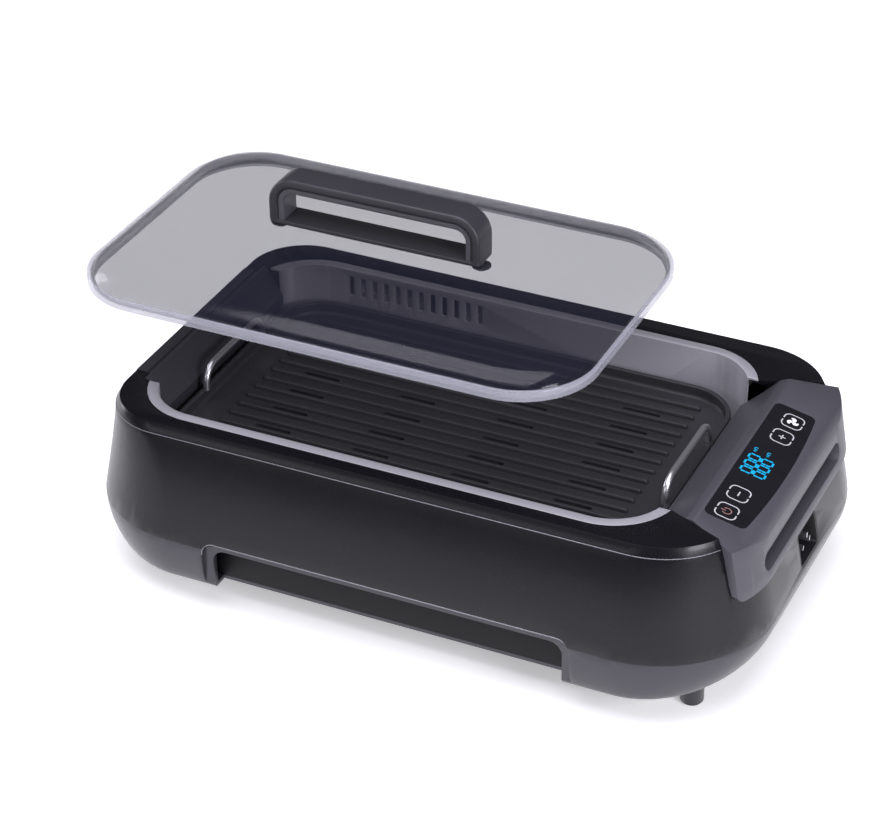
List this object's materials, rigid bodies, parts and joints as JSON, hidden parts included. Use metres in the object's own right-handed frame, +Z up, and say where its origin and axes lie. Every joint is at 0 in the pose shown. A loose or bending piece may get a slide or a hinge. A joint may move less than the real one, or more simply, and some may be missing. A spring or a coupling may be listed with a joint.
{
  "type": "smokeless indoor grill",
  "caption": "Electric indoor grill with a ribbed plate, a drip tray, a touch panel and a glass lid with an arched handle, shown with its lid lifted off.",
  "frame": {"origin": "on the table, under the middle of the whole outline with the lid in the air, 5 mm left of the body's middle; the four foot pads rest at Z = 0", "axes": "+X towards the control panel end, +Y towards the back, +Z up"},
  "size_m": [0.53, 0.328, 0.2778],
  "materials": {
    "housing_dark": "satin",
    "base_grey": "satin",
    "pan_black": "matte",
    "pad_rubber": "matte",
    "liner_grey": "satin",
    "cover_grey": "satin",
    "panel_grey": "satin",
    "touch_glass": "gloss",
    "board": "satin",
    "inner_plastic": "matte",
    "inner_metal": "satin",
    "fastener": "satin",
    "copper": "satin",
    "cable_skin": "matte",
    "plate_coated": "non-stick coated",
    "tray_metal": "satin",
    "wire_steel": "polished",
    "element_sheath": "satin",
    "ceramic_black": "matte",
    "lid_clear": "gloss",
    "rim_clear": "gloss",
    "handle_dark": "satin",
    "handle_light": "satin",
    "silicone": "matte"
  },
  "bodies": {
    "body": {"outer_housing": "housing_dark", "base_shell": "base_grey", "bottom_pan": "pan_black", "foot_pad_front_left": "pad_rubber", "foot_pad_front_right": "pad_rubber", "foot_pad_rear_left": "pad_rubber", "foot_pad_rear_right": "pad_rubber", "liner": "liner_grey", "left_end_cover": "cover_grey", "control_panel_housing": "panel_grey", "touch_panel_glass": "touch_glass", "display_module": "inner_plastic", "touch_sensor_springs": "copper", "control_board": "board", "power_inlet": "inner_plastic", "inlet_pins": "copper", "power_board": "board", "power_board_parts": "inner_plastic", "fan_scroll": "inner_plastic", "fan_motor": "inner_metal", "smoke_duct": "inner_metal", "outlet_grille": "pan_black", "heat_shield": "inner_metal", "thermal_cutout": "inner_metal", "terminal_socket": "ceramic_black", "base_screws": "fastener", "mains_wires": "cable_skin"},
    "fan": {"impeller": "inner_plastic", "motor_shaft": "fastener"},
    "tray": {"drip_tray": "tray_metal"},
    "plate": {"grill_plate": "plate_coated", "plate_handle_left": "wire_steel", "plate_handle_right": "wire_steel", "heating_element": "element_sheath", "element_clamps": "fastener", "clamp_screws": "fastener", "terminal_plug": "ceramic_black", "terminal_pins": "copper"},
    "lid": {"lid_rim": "rim_clear", "lid_glass": "lid_clear", "handle_base": "handle_dark", "handle_strap": "handle_dark", "handle_arch": "handle_light", "handle_washers": "silicone", "handle_screws": "fastener"}
  },
  "joints": [
    {"name": "fan_spin", "type": "hinge", "parent": "body", "child": "fan", "pos_m": [0.2185, 0.062, 0.053], "axis": [0, 0, 1], "continuous": true},
    {"name": "tray_lift_out", "type": "slide", "parent": "body", "child": "tray", "axis": [0, 0, 1], "range_m": [0, 0.1]},
    {"name": "plate_lift_out", "type": "slide", "parent": "tray", "child": "plate", "axis": [0, 0, 1], "range_m": [0, 0.1]},
    {"name": "lid_lift_off", "type": "slide", "parent": "plate", "child": "lid", "axis": [-0.5975, 0, 0.8019], "range_m": [-0.0954, 0.08]}
  ]
}
